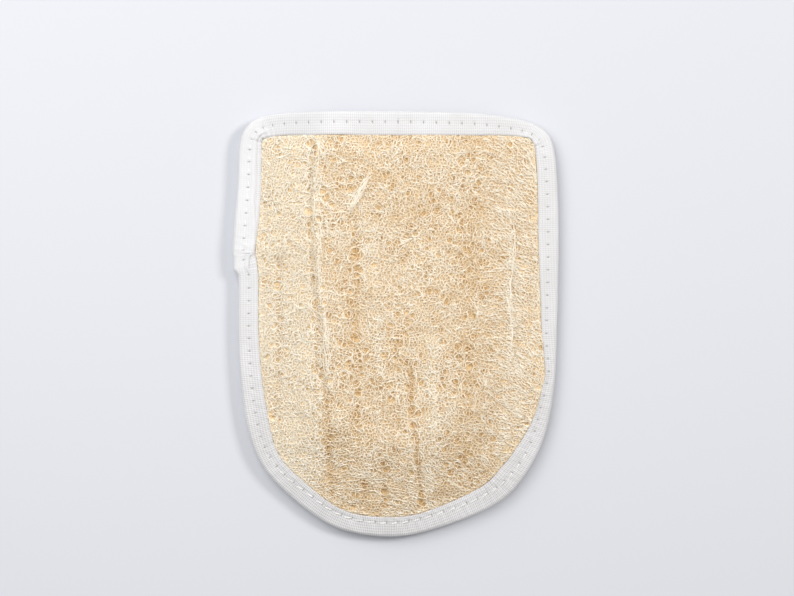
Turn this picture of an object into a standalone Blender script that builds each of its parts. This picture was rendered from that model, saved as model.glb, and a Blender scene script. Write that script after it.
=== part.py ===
"""A natural loofah sponge made up as a bath mitt, lying flat with its loofah face up.

Metres, +Z up, +Y toward the straight cuff, origin on the floor under the middle of its box.
The face is one pressed panel of loofah, whose raised net is larger than life here. The back
is terry cloth, shorter at the cuff, where the hand goes in between the two. One ribbed tape
is folded over the whole edge, closed in a lap on the left side, and held by one row of
lockstitch. Every height is measured from the floor.
"""

import random

import bmesh
import bpy
import numpy as np
from mathutils import Vector
from mathutils.geometry import delaunay_2d_cdt

MM = 0.001

# Outer edge of the mitt as seen from above, in millimetres, anticlockwise from the cuff's
# middle. The small bulge at x = -76.7 is the lap of the tape.
OUTLINE = [
    (0.8, 99.9), (-35.8, 100.0), (-54.6, 99.5), (-64.9, 97.2), (-71.0, 92.0), (-73.6, 83.6),
    (-74.6, 63.4), (-76.7, 35.2), (-74.6, 23.5), (-74.7, -2.3), (-73.4, -26.8),
    (-70.1, -49.3), (-63.1, -66.7), (-49.9, -81.2), (-31.1, -94.6), (-12.3, -99.5),
    (6.4, -99.3), (29.9, -92.5), (48.7, -83.6), (60.4, -71.4), (69.8, -52.6), (74.5, -28.2),
    (75.9, 2.3), (76.6, 39.9), (75.9, 68.1), (74.0, 84.5), (69.3, 92.0), (60.4, 96.2),
    (44.0, 98.6), (20.5, 99.5),
]
LARGEST_SPAN = 200.0 * MM

# Binding tape: a woven strip folded over the edge
TAPE = 0.8 * MM
TAPE_REACH = 10.3 * MM
TAPE_HEIGHT = 7.8 * MM
TAPE_RIM = 1.2 * MM
TAPE_INSIDE, TAPE_INSIDE_ROUND = 1.1 * MM, 1.6 * MM
TAPE_STATIONS = 124

# The stitch row pinches a groove into the tape on both sides
GROOVE_OVER, GROOVE_UNDER, GROOVE_HALF = 0.8 * MM, 1.0 * MM, 1.4 * MM
SEAM_INSET, SEAM_INSET_AT_TIP = 5.2 * MM, 7.0 * MM
TIP_FROM, TIP_RUN = -60.0 * MM, 30.0 * MM
THREAD = 0.25 * MM
THREAD_OVER_GROOVE = 0.65 * MM
SQUARE = ((-1, -1), (1, -1), (1, 1), (-1, 1))

# Where the tape's two ends lie double on the left side: a step below, a taper above
LAP_FROM, LAP_TO = 25.0 * MM, 90.0 * MM
LAP_STEP, LAP_TAPER = 3.0 * MM, 8.0 * MM
LAP_EXTRA = 0.8 * MM

# Where the right side's edge turns down, so that less of the tape's width lies flat
ROLL_AT, ROLL_LENGTH, ROLL_DEPTH = -23.0 * MM, 16.0 * MM, 5.0 * MM

# Heights of the layers in the bound edge
CLEAR = 0.3 * MM
TERRY_EDGE_LOW, TERRY_EDGE_HIGH = 2.1 * MM, 3.1 * MM
LOOFAH_EDGE_LOW, LOOFAH_EDGE_HIGH = 3.4 * MM, 5.9 * MM
EDGE_INSET = 1.6 * MM

# Pocket: the dry panel stands in an arch over the back, from seam to seam
ARCH_HEIGHT = 9.0 * MM
ARCH_START, ARCH_RUN = 11.0 * MM, 35.0 * MM
CUFF_RAISE = 1.3 * MM
CUFF_FROM, CUFF_RUN = 86.5 * MM, 4.0 * MM

# Loofah panel
LOOFAH_THICK = 6.4 * MM
PUFF_RUN = 9.0 * MM
CELL = 8.6 * MM
CELL_JITTER = 0.3
NET_SLOPE, NET_DEPTH = 1.3 * MM, 2.0 * MM
PANEL_BEHIND_TAPE = 0.6 * MM
LOOFAH_STATIONS = 80
UNDER_CELL = 17.0 * MM
FURROW_WIDTH, FURROW_DEPTH = 4.2 * MM, 2.0 * MM
# Each furrow is (x, y) in millimetres from the cuff downward, where the old seed chambers'
# walls were pressed flat
FURROWS = [
    [(-39.3, 87.8), (-40.5, 55.4), (-38.6, 16.9), (-36.3, -1.9), (-33.0, -32.0), (-30.2, -78.9)],
    [(-25.5, 55.4), (-18.9, 45.0), (-18.4, 9.9), (-18.0, -29.6), (-18.9, -48.8)],
    [(4.6, -16.4), (6.9, -39.9), (9.7, -62.0), (12.1, -84.0)],
    [(35.1, 84.0), (37.0, 55.4), (34.2, 33.3), (34.0, -16.0), (30.0, -67.0)],
]

# Terry back
TERRY = 2.6 * MM
TERRY_STATIONS = 72
TERRY_FLAT_FROM = 15.0 * MM
HEM_STEP, HEM_SIDE_RUN = 1.0 * MM, 6.0 * MM
HEM_EDGE, HEM_WIDTH, HEM_EXTRA = 82.0 * MM, 11.0 * MM, 1.0 * MM
HEM_THREAD_HALF, HEM_THREAD_IN = 58.0 * MM, 8.5 * MM


def smooth_step(t):
    """0 below 0, 1 above 1, and a smooth rise between."""
    t = np.clip(t, 0.0, 1.0)
    return t * t * (3.0 - 2.0 * t)


def curve_through(points, steps, closed):
    """A Catmull-Rom curve through the points, as many short straight steps."""
    points = np.array(points, float)
    if closed:
        points = np.vstack([points[-1:], points, points[:2]])
    else:
        points = np.vstack([2 * points[0] - points[1], points, 2 * points[-1] - points[-2]])
    before, start, end, after = points[:-3], points[1:-2], points[2:-1], points[3:]
    t = (np.arange(steps) / steps)[None, :, None]
    before, start, end, after = (p[:, None, :] for p in (before, start, end, after))
    curve = 0.5 * (
        2 * start
        + (end - before) * t
        + (2 * before - 5 * start + 4 * end - after) * t ** 2
        + (3 * start - before - 3 * end + after) * t ** 3
    )
    curve = curve.reshape(-1, 2)
    return curve if closed else np.vstack([curve, points[-2]])


def evenly_spaced(line, count, closed=True):
    """The given number of points at equal distances along a line."""
    ends = np.vstack([line, line[:1]]) if closed else line
    along = np.r_[0, np.cumsum(np.linalg.norm(np.diff(ends, axis=0), axis=1))]
    at = np.arange(count) * along[-1] / (count if closed else count - 1)
    return np.column_stack([np.interp(at, along, ends[:, i]) for i in (0, 1)])


def inward(line, closed=True):
    """The unit normal at each point of an anticlockwise line, pointing to its inside."""
    if closed:
        tangent = np.roll(line, -1, axis=0) - np.roll(line, 1, axis=0)
    else:
        tangent = np.gradient(line, axis=0)
    tangent /= np.linalg.norm(tangent, axis=1)[:, None]
    return np.column_stack([-tangent[:, 1], tangent[:, 0]])


def distance_to(line, at):
    """The distance from each plan point to the nearest place on a line of straight steps."""
    at = np.atleast_2d(at)
    start, step = line[:-1], np.diff(line, axis=0)
    t = ((at[:, None] - start) * step).sum(2) / (step ** 2).sum(1)
    foot = start + np.clip(t, 0, 1)[:, :, None] * step
    return np.linalg.norm(at[:, None] - foot, axis=2).min(1)


def sized_outline():
    """The outer edge in metres, centred, its longer span set to the mitt's length."""
    loop = curve_through(OUTLINE, 8, closed=True)
    span = loop.max(axis=0) - loop.min(axis=0)
    centre = (loop.max(axis=0) + loop.min(axis=0)) / 2
    return (loop - centre) * LARGEST_SPAN / span.max()


EDGE = sized_outline()
EDGE_CLOSED = np.vstack([EDGE, EDGE[:1]])
# The sewn seam leaves out the cuff, and is carried on upward past it on both sides
SEWN = EDGE[EDGE[:, 1] < HEM_EDGE]
PAST_CUFF = np.array([0.0, 60.0 * MM])
SEWN = np.vstack([SEWN[:1] + PAST_CUFF, SEWN, SEWN[-1:] + PAST_CUFF])
FURROW_LINES = [curve_through(np.array(f) * MM, 4, closed=False) for f in FURROWS]


def arch(at):
    """How far the panel stands above its place at the seam."""
    return ARCH_HEIGHT * smooth_step((distance_to(SEWN, at) - ARCH_START) / ARCH_RUN)


def cuff_raise(at):
    """How far the tape's lower half is drawn up where it holds the loofah alone."""
    return CUFF_RAISE * smooth_step((np.atleast_2d(at)[:, 1] - CUFF_FROM) / CUFF_RUN)


def tape_reach(at):
    """How much of the tape's width lies flat, inward from the outer edge."""
    rolled = np.exp(-(((at[:, 1] - ROLL_AT) / ROLL_LENGTH) ** 2)) * (at[:, 0] > 0)
    return TAPE_REACH - ROLL_DEPTH * rolled


def seam_inset(at):
    """The stitch row's distance from the outer edge: further in round the tip."""
    tip = smooth_step((TIP_FROM - at[:, 1]) / TIP_RUN)
    row = SEAM_INSET + (SEAM_INSET_AT_TIP - SEAM_INSET) * tip
    return np.minimum(row, tape_reach(at) - GROOVE_HALF - 0.2 * MM)


def lap(at):
    """1 where the tape lies double on the left side, 0 elsewhere."""
    start = smooth_step((at[:, 1] - LAP_FROM) / LAP_STEP)
    end = smooth_step((LAP_TO - at[:, 1]) / LAP_TAPER)
    return start * end * (at[:, 0] < 0)


def mesh_object(name, build, material):
    """A new object whose mesh the given function builds, with all faces pointing out."""
    bm = bmesh.new()
    build(bm)
    bmesh.ops.recalc_face_normals(bm, faces=bm.faces)
    mesh = bpy.data.meshes.new(name)
    bm.to_mesh(mesh)
    bm.free()
    mesh.materials.append(material)
    mesh.shade_smooth()
    mesh.set_sharp_from_angle(angle=np.radians(50))
    thing = bpy.data.objects.new(name, mesh)
    bpy.context.collection.objects.link(thing)
    return thing


def add_loop(bm, plan, heights):
    return [bm.verts.new((x, y, z)) for (x, y), z in zip(plan, heights)]


def join_loops(bm, first, second, closed=True):
    """Quads between two loops with as many points."""
    count = len(first)
    for i in range(count if closed else count - 1):
        j = (i + 1) % count
        bm.faces.new((first[i], first[j], second[j], second[i]))


def ring(bm, sections):
    """A closed body swept through the sections, each a list of points round it."""
    loops = [[bm.verts.new(p) for p in section] for section in sections]
    for i, loop in enumerate(loops):
        join_loops(bm, loop, loops[(i + 1) % len(loops)])


def tape_stations():
    at = evenly_spaced(EDGE, TAPE_STATIONS)
    return at, inward(at)


def edge_binding(bm):
    """The folded tape: its section follows the outline, with a groove for the stitches."""
    at, normal = tape_stations()
    reach, row, doubled = tape_reach(at), seam_inset(at), lap(at) * LAP_EXTRA
    rim, inside = np.full_like(reach, TAPE_RIM), np.full_like(reach, TAPE_INSIDE)
    high, lip = TAPE_HEIGHT, TAPE_HEIGHT - 0.2 * MM
    # Round the section from the upper half's inner edge over the rim to the lower half and
    # back inside: inset, height, how far the lap raises it, how far the cuff raises it
    profile = [
        (reach, lip, 1, 0),
        (row + GROOVE_HALF, high, 1, 0),
        (row, high - GROOVE_OVER, 1, 0),
        (row - GROOVE_HALF, high, 1, 0),
        (rim, high - TAPE_RIM, 1, 0),
        (0 * rim, high / 2, 0.5, 0.5),
        (rim, TAPE_RIM, 0, 1),
        (2 * rim, 0.0, 0, 1),
        (row, GROOVE_UNDER, 0, 1),
        (row + GROOVE_HALF, 0.0, 0, 1),
        (reach, 0.0, 0, 1),
        (reach, TAPE, 0, 1),
        (row, GROOVE_UNDER + TAPE, 0, 1),
        (inside, TAPE_INSIDE_ROUND, 0, 1),
        (inside, high - TAPE_INSIDE_ROUND, 0, 0),
        (row, high - GROOVE_OVER - TAPE, 0, 0),
        (reach, lip - TAPE, 0, 0),
    ]
    rows = []
    for inset, height, raised_by_lap, raised_by_cuff in profile:
        plan = at + normal * inset[:, None]
        z = height + arch(plan) + raised_by_lap * doubled + raised_by_cuff * cuff_raise(plan)
        rows.append(np.column_stack([plan, z]))
    ring(bm, np.array(rows).transpose(1, 0, 2))


def seam_thread(bm, below):
    """One thread of the lockstitch, a four-sided ring lying in the tape's groove."""
    at, normal = tape_stations()
    row = seam_inset(at)
    middle = at + normal * row[:, None]
    if below:
        height = GROOVE_UNDER - THREAD_OVER_GROOVE + cuff_raise(middle)
    else:
        height = TAPE_HEIGHT - GROOVE_OVER + THREAD_OVER_GROOVE + lap(at) * LAP_EXTRA
    height = height + arch(middle)
    half = 0.8 * THREAD
    lines = []
    for side, up in SQUARE:
        lines.append(np.column_stack([middle + normal * side * half, height + up * half]))
    ring(bm, np.array(lines).transpose(1, 0, 2))


def scattered(cell, border, clearance, jitter):
    """Jittered points on a triangular grid, inside the border loop and clear of it."""
    draw = random.Random(7)
    low, high = border.min(axis=0), border.max(axis=0)
    points = []
    for j, y in enumerate(np.arange(low[1], high[1], cell * 0.866)):
        for x in np.arange(low[0] + (j % 2) * cell / 2, high[0], cell):
            points.append((
                x + draw.uniform(-jitter, jitter) * cell,
                y + draw.uniform(-jitter, jitter) * cell,
            ))
    points = np.array(points)
    closed = np.vstack([border, border[:1]])
    start, end = closed[:-1], closed[1:]
    above = (points[:, None, 1] < start[:, 1]) != (points[:, None, 1] < end[:, 1])
    with np.errstate(divide="ignore", invalid="ignore"):
        crossing = start[:, 0] + (points[:, None, 1] - start[:, 1]) * (
            (end - start)[:, 0] / (end - start)[:, 1]
        )
    inside = (above & (points[:, None, 0] < crossing)).sum(1) % 2 == 1
    return points[inside & (distance_to(closed, points) > clearance)]


def triangles_between(border, points):
    """Triangles that fill the border loop and use every point inside it."""
    count = len(border)
    edges = [(i, (i + 1) % count) for i in range(count)]
    plan = [Vector(p) for p in np.vstack([border, points])]
    _, _, faces, origin, _, _ = delaunay_2d_cdt(plan, edges, [], 1, 1e-7)
    return [[origin[v][0] for v in face] for face in faces]


def net_cells(border, points):
    """The cells of the net: one many-sided cell round each point, and one on each border
    point. Gives the corners' plan points, and the cells as lists of corners."""
    count = len(border)
    plan = np.vstack([border, points])
    triangles = triangles_between(border, points)
    middles = plan[np.array(triangles)].mean(axis=1)
    halves = (border + np.roll(border, -1, axis=0)) / 2
    corners = np.vstack([border, halves, middles])
    around = [[] for _ in plan]
    for t, triangle in enumerate(triangles):
        for v in triangle:
            around[v].append(t)
    cells = []
    for v, touching in enumerate(around):
        arm = middles[touching] - plan[v]
        angle = np.arctan2(arm[:, 1], arm[:, 0])
        if v < count:
            ahead = plan[(v + 1) % count] - plan[v]
            angle = (angle - np.arctan2(ahead[1], ahead[0])) % (2 * np.pi)
        order = [2 * count + touching[i] for i in np.argsort(angle)]
        if v < count:
            order = [v, count + v] + order + [count + (v - 1) % count]
        cells.append(order)
    return corners, cells


def panel_top(at):
    """The height of the panel's ridges: puffed up inside the tape, lower along furrows."""
    room = distance_to(EDGE_CLOSED, at) - tape_reach(at)
    thick = LOOFAH_EDGE_HIGH - LOOFAH_EDGE_LOW
    thick = thick + (LOOFAH_THICK - thick) * smooth_step(room / PUFF_RUN)
    for line in FURROW_LINES:
        thick = thick - FURROW_DEPTH * np.exp(-((distance_to(line, at) / FURROW_WIDTH) ** 2))
    thick = np.maximum(thick, LOOFAH_EDGE_HIGH - LOOFAH_EDGE_LOW)
    return LOOFAH_EDGE_LOW + arch(at) + thick


def loofah_panel(bm):
    """One piece of pressed loofah: net on its face, plain inside, thin in the seam."""
    at = evenly_spaced(EDGE, LOOFAH_STATIONS)
    normal = inward(at)
    border = at + normal * (tape_reach(at) + PANEL_BEHIND_TAPE)[:, None]
    rim = at + normal * EDGE_INSET
    points = scattered(CELL, border, 0.7 * CELL, CELL_JITTER)
    corners, cells = net_cells(border, points)
    net = [bm.verts.new((x, y, 0.0)) for x, y in corners]
    faces = [bm.faces.new([net[c] for c in cell]) for cell in cells]
    bm.normal_update()
    bmesh.ops.inset_individual(
        bm, faces=faces[LOOFAH_STATIONS:], thickness=NET_SLOPE, depth=-NET_DEPTH,
        use_even_offset=True,
    )
    relief = np.array([v.co.z for v in bm.verts])
    plan = np.array([v.co.xy for v in bm.verts])
    heights = panel_top(plan) + relief
    heights[:2 * LOOFAH_STATIONS] = LOOFAH_EDGE_HIGH + arch(plan[:2 * LOOFAH_STATIONS])
    for v, z in zip(bm.verts, heights):
        v.co.z = z

    halves = (rim + np.roll(rim, -1, axis=0)) / 2
    rim = np.column_stack([rim, halves]).reshape(-1, 2)
    upper_border = [v for pair in zip(net[:LOOFAH_STATIONS], net[LOOFAH_STATIONS:]) for v in pair]
    border = np.array([v.co.xy for v in upper_border])
    upper_rim = add_loop(bm, rim, LOOFAH_EDGE_HIGH + arch(rim))
    lower_rim = add_loop(bm, rim, LOOFAH_EDGE_LOW + arch(rim))
    lower_border = add_loop(bm, border, LOOFAH_EDGE_LOW + arch(border))
    join_loops(bm, upper_border, upper_rim)
    join_loops(bm, upper_rim, lower_rim)
    join_loops(bm, lower_rim, lower_border)
    inner = scattered(UNDER_CELL, border, 0.45 * UNDER_CELL, 0.1)
    under = lower_border + add_loop(bm, inner, LOOFAH_EDGE_LOW + arch(inner))
    for triangle in triangles_between(border, inner):
        bm.faces.new([under[v] for v in triangle])


def terry_heights(at):
    """The heights of the terry's lower and upper face at each plan point."""
    seam = distance_to(SEWN, at)
    start = ARCH_START + 0.5 * MM
    out = smooth_step((seam - start) / (TERRY_FLAT_FROM - 0.5 * MM - start))
    low = TERRY_EDGE_LOW * (1 - out)
    high = TERRY_EDGE_HIGH + (TERRY - TERRY_EDGE_HIGH) * out
    hem = smooth_step((at[:, 1] - HEM_EDGE + HEM_WIDTH) / HEM_STEP)
    return low, high + HEM_EXTRA * hem * smooth_step((seam - TERRY_FLAT_FROM) / HEM_SIDE_RUN)


def terry_back(bm):
    """The back: flat on the floor, its sides up in the seam, its cuff edge in a hem."""
    at = evenly_spaced(SEWN, TERRY_STATIONS, closed=False)
    normal = inward(at, closed=False)
    insets = (EDGE_INSET, ARCH_START + 0.2 * MM, TERRY_FLAT_FROM, TERRY_FLAT_FROM + HEM_SIDE_RUN)
    flat = np.zeros(TERRY_STATIONS)
    lines = [add_loop(bm, at + normal * inset, flat) for inset in insets]
    for first, second in zip(lines, lines[1:]):
        join_loops(bm, first, second, closed=False)
    bm.faces.new(lines[-1])
    bmesh.ops.bisect_plane(
        bm, geom=bm.verts[:] + bm.edges[:] + bm.faces[:], dist=1e-6,
        plane_co=(0, HEM_EDGE, 0), plane_no=(0, 1, 0), clear_outer=True,
    )
    for y in (HEM_EDGE - HEM_WIDTH, HEM_EDGE - HEM_WIDTH + HEM_STEP):
        bmesh.ops.bisect_plane(
            bm, geom=bm.verts[:] + bm.edges[:] + bm.faces[:], dist=1e-6,
            plane_co=(0, y, 0), plane_no=(0, 1, 0),
        )
    lower = list(bm.verts)
    grown = bmesh.ops.extrude_face_region(bm, geom=bm.faces[:])["geom"]
    upper = [v for v in grown if isinstance(v, bmesh.types.BMVert)]
    for verts, side in ((lower, 0), (upper, 1)):
        plan = np.array([v.co.xy for v in verts])
        for v, z in zip(verts, terry_heights(plan)[side]):
            v.co.z = z


def hem_thread(bm):
    """The hem's row of stitches, lying on the hem inside the pocket."""
    y = HEM_EDGE - HEM_THREAD_IN
    z = TERRY + HEM_EXTRA + CLEAR + THREAD
    left, right = (
        [bm.verts.new((x, y + a * THREAD, z + b * THREAD)) for a, b in SQUARE]
        for x in (-HEM_THREAD_HALF, HEM_THREAD_HALF)
    )
    join_loops(bm, left, right)
    bm.faces.new(left)
    bm.faces.new(right)


def material(name, colour, roughness):
    """A Principled material; colour is linear red, green, blue."""
    made = bpy.data.materials.new(name)
    made.use_nodes = True
    made.diffuse_color = (*colour, 1.0)
    shader = made.node_tree.nodes["Principled BSDF"]
    shader.inputs["Base Color"].default_value = (*colour, 1.0)
    shader.inputs["Roughness"].default_value = roughness
    return made


def build_mitt():
    for thing in list(bpy.data.objects):
        bpy.data.objects.remove(thing)
    loofah = material("dried loofah fibre", (0.78, 0.64, 0.45), 0.85)
    tape = material("white cotton tape", (0.84, 0.83, 0.82), 0.8)
    terry = material("white cotton terry", (0.82, 0.81, 0.79), 0.95)
    thread = material("white sewing thread", (0.87, 0.86, 0.85), 0.6)
    mesh_object("loofah_panel", loofah_panel, loofah)
    mesh_object("terry_back", terry_back, terry)
    mesh_object("edge_binding", edge_binding, tape)
    mesh_object("needle_thread", lambda bm: seam_thread(bm, below=False), thread)
    mesh_object("bobbin_thread", lambda bm: seam_thread(bm, below=True), thread)
    mesh_object("hem_thread", hem_thread, thread)


build_mitt()
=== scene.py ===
# %% [markdown]
# # A natural loofah sponge, made up as a bath mitt
# The mitt lies flat on a pale table with its loofah face up. Its face is one pressed panel of
# loofah, the dried fibre of a gourd. Its back is white terry cloth. One ribbed tape is folded
# over the edge of both and sewn down with one row of lockstitch.
#
# The solid model gives every piece its real size and place, so this script starts from it and
# gives each piece its real surface: fibres, ribs, weave, stitches and loops.

import bpy
import numpy as np
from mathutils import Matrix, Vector
from mathutils.geometry import delaunay_2d_cdt


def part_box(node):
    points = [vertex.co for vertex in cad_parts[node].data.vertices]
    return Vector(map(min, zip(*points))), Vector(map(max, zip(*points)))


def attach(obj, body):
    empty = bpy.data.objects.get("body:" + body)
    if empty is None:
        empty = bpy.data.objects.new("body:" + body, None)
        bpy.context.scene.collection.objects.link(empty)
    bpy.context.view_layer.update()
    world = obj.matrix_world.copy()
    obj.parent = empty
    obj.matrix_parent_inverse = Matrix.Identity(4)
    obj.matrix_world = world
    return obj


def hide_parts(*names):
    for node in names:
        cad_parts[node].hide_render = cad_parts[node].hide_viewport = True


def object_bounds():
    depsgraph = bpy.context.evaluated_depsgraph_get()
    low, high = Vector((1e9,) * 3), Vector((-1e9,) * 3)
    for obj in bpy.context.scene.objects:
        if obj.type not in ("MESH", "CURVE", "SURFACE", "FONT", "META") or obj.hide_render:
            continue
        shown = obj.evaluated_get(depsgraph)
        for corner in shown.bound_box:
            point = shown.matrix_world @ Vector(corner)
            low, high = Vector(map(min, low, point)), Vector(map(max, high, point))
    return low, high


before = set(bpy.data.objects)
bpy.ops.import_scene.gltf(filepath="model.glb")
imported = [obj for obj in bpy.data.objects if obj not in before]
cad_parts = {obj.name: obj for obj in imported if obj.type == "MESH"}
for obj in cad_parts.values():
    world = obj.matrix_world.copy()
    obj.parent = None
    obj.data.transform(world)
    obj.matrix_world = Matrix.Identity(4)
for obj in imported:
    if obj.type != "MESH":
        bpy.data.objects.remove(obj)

cad_box = [list(corner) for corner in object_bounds()]
MM = 0.001
print("the solid model's box in mm:", np.round(np.array(cad_box) / MM, 1).tolist())

# %% [markdown]
# ## Small helpers
# Colours are read off as sRGB hex values, but a shader works in linear light, so one function
# turns them. Another adds one node with its settings and links, and one joins a colour and a
# bump to a shader. The last puts whole arrays of points and faces into a mesh, which is far
# faster than adding them one by one.

# %% Colour, nodes and meshes


def linear(hex_colour):
    """An sRGB hex colour as linear red, green, blue and alpha 1."""
    srgb = np.array([int(hex_colour[i:i + 2], 16) for i in (1, 3, 5)]) / 255
    low, high = srgb / 12.92, ((srgb + 0.055) / 1.055) ** 2.4
    return (*np.where(srgb <= 0.04045, low, high), 1.0)


def add(tree, kind, settings=None, **links):
    """Adds a node. Settings name its properties or inputs, and stops are a ramp's positions
    and hex colours. Links name inputs to join. A name such as _1 is input number 1."""
    node = tree.nodes.new("ShaderNode" + kind)
    for name, value in (settings or {}).items():
        if name == "stops":
            marks = node.color_ramp.elements
            while len(marks) < len(value):
                marks.new(0.5)
            for mark, (position, colour) in zip(marks, value):
                mark.position, mark.color = position, linear(colour)
        elif name[0] == "_":
            node.inputs[int(name[1:])].default_value = value
        elif name in node.inputs:
            node.inputs[name].default_value = value
        else:
            setattr(node, name, value)
    for name, socket in links.items():
        key = int(name[1:]) if name[0] == "_" else name.replace("_", " ")
        tree.links.new(socket, node.inputs[key])
    return node


def new_material(name):
    """A material with one Principled shader. Gives the material, its tree and the shader."""
    made = bpy.data.materials.new(name)
    made.use_nodes = True
    return made, made.node_tree, made.node_tree.nodes["Principled BSDF"]


def dress(tree, shader, colour, height, strength, distance):
    """Joins a colour to the shader, and a height as a bump of the given distance in metres."""
    tree.links.new(colour, shader.inputs["Base Color"])
    bump = add(tree, "Bump", {"Strength": strength, "Distance": distance}, Height=height)
    tree.links.new(bump.outputs["Normal"], shader.inputs["Normal"])


def mesh_piece(name, points, faces, material, values=None, uv=None):
    """An object from an array of points and a list of face arrays, one for each corner count.
    values are named numbers on the points, and uv is one pair for each point."""
    mesh = bpy.data.meshes.new(name)
    corners = np.concatenate([f.ravel() for f in faces]).astype(np.int32)
    counts = np.concatenate([np.full(len(f), f.shape[1]) for f in faces])
    starts = np.concatenate([[0], np.cumsum(counts)[:-1]]).astype(np.int32)
    mesh.vertices.add(len(points))
    mesh.vertices.foreach_set("co", np.asarray(points, np.float32).ravel())
    mesh.loops.add(len(corners))
    mesh.loops.foreach_set("vertex_index", corners)
    mesh.polygons.add(len(starts))
    mesh.polygons.foreach_set("loop_start", starts)
    mesh.update(calc_edges=True)
    for key, value in (values or {}).items():
        mesh.attributes.new(key, "FLOAT", "POINT").data.foreach_set("value", value)
    if uv is not None:
        layer = mesh.uv_layers.new(name="UVMap")
        layer.uv.foreach_set("vector", np.asarray(uv, np.float32)[corners].ravel())
    mesh.shade_smooth()
    mesh.materials.append(material)
    piece = bpy.data.objects.new(name, mesh)
    bpy.context.scene.collection.objects.link(piece)
    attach(piece, "root")
    print(f"{name}: {int((counts - 2).sum())} triangles")
    return piece


# %% [markdown]
# ## The plan
# Everything follows the mitt's outline, so it comes first: a smooth curve through a few points
# that were measured from above. Heights depend on two distances: how far in from the bound
# edge a place is, and how far from the sewn seam, which leaves the cuff open.

# %% The outline, and distances from it
OUTLINE = np.array([
    (0.8, 99.9), (-35.8, 100.0), (-54.6, 99.5), (-64.9, 97.2), (-71.0, 92.0), (-73.6, 83.6),
    (-74.6, 63.4), (-76.7, 35.2), (-74.6, 23.5), (-74.7, -2.3), (-73.4, -26.8),
    (-70.1, -49.3), (-63.1, -66.7), (-49.9, -81.2), (-31.1, -94.6), (-12.3, -99.5),
    (6.4, -99.3), (29.9, -92.5), (48.7, -83.6), (60.4, -71.4), (69.8, -52.6), (74.5, -28.2),
    (75.9, 2.3), (76.6, 39.9), (75.9, 68.1), (74.0, 84.5), (69.3, 92.0), (60.4, 96.2),
    (44.0, 98.6), (20.5, 99.5),
])
LENGTH = (cad_box[1][1] - cad_box[0][1]) / MM
HEM_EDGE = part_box("terry_back")[1][1] / MM

# how much of the tape shows on the face, in mm, at places round the edge
TAPE_SHOWS = np.array([
    (1.9, 99.9, 11.5), (-31.1, 100.0, 11.5), (-62.2, 98.2, 10.5), (-70.0, 93.2, 9.6),
    (-73.9, 78.0, 10.6), (-75.5, 51.0, 11.3), (-76.5, 37.8, 10.5), (-74.6, 24.9, 9.8),
    (-74.0, -17.0, 10.1), (-70.8, -45.8, 10.9), (-62.3, -67.6, 9.5), (-46.8, -83.7, 9.8),
    (-24.5, -97.0, 9.3), (-5.8, -99.9, 9.7), (13.5, -97.6, 9.3), (33.7, -90.9, 10.4),
    (58.4, -74.1, 11.9), (67.1, -59.4, 9.9), (73.1, -38.7, 6.6), (74.9, -23.8, 4.8),
    (75.9, 2.1, 7.9), (76.6, 44.7, 10.1), (74.6, 81.6, 9.5), (70.2, 91.1, 8.2),
    (66.0, 94.2, 7.3), (59.9, 96.3, 8.1), (39.8, 98.8, 10.5),
])


def smooth_step(t):
    """0 below 0, 1 above 1, and a smooth rise between."""
    t = np.clip(t, 0.0, 1.0)
    return t * t * (3.0 - 2.0 * t)


def curve_through(points, steps, closed):
    """A Catmull-Rom curve: each stretch is a cubic that leaves a point along the line from
    the one before to the one after."""
    if closed:
        points = np.vstack([points[-1:], points, points[:2]])
    else:
        points = np.vstack([2 * points[0] - points[1], points, 2 * points[-1] - points[-2]])
    t = (np.arange(steps) / steps)[None, :, None]
    before, start, end, after = (
        p[:, None] for p in (points[:-3], points[1:-2], points[2:-1], points[3:])
    )
    curve = 0.5 * (
        2 * start
        + (end - before) * t
        + (2 * before - 5 * start + 4 * end - after) * t ** 2
        + (3 * start - before - 3 * end + after) * t ** 3
    ).reshape(-1, 2)
    return curve if closed else np.vstack([curve, points[-2]])


def place_on(line, along, at):
    """The places on a line at given lengths. along is the length up to each of its points."""
    return np.stack([np.interp(at, along, line[:, i]) for i in (0, 1)], axis=-1)


def evenly_spaced(line, count, closed=True):
    """Points at equal distances along a line, and the length up to each."""
    ends = np.vstack([line, line[:1]]) if closed else line
    along = np.r_[0, np.cumsum(np.linalg.norm(np.diff(ends, axis=0), axis=1))]
    at = np.arange(count) * along[-1] / (count if closed else count - 1)
    return place_on(ends, along, at), at, along[-1]


def inward(line):
    """The unit normal at each point of an anticlockwise loop, pointing to its inside."""
    tangent = np.roll(line, -1, axis=0) - np.roll(line, 1, axis=0)
    tangent /= np.linalg.norm(tangent, axis=1)[:, None]
    return np.column_stack([-tangent[:, 1], tangent[:, 0]])


def distance_to(line, at):
    """The distance from each plan point to the nearest place on a line of straight steps."""
    start, step = line[:-1], np.diff(line, axis=0)
    t = ((at[:, None] - start) * step).sum(2) / (step ** 2).sum(1)
    foot = start + np.clip(t, 0, 1)[:, :, None] * step
    return np.linalg.norm(at[:, None] - foot, axis=2).min(1)


def is_inside(loop, at):
    """Whether each plan point is inside a loop: a line to its right meets the loop an odd
    number of times."""
    after = np.roll(loop, -1, axis=0)
    over = (loop[:, 1] <= at[:, None, 1]) != (after[:, 1] <= at[:, None, 1])
    run = after - loop
    slope = run[:, 0] / np.where(np.abs(run[:, 1]) < 1e-9, 1e-9, run[:, 1])
    meets = loop[:, 0] + (at[:, None, 1] - loop[:, 1]) * slope
    return (over & (at[:, None, 0] < meets)).sum(1) % 2 == 1


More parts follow.
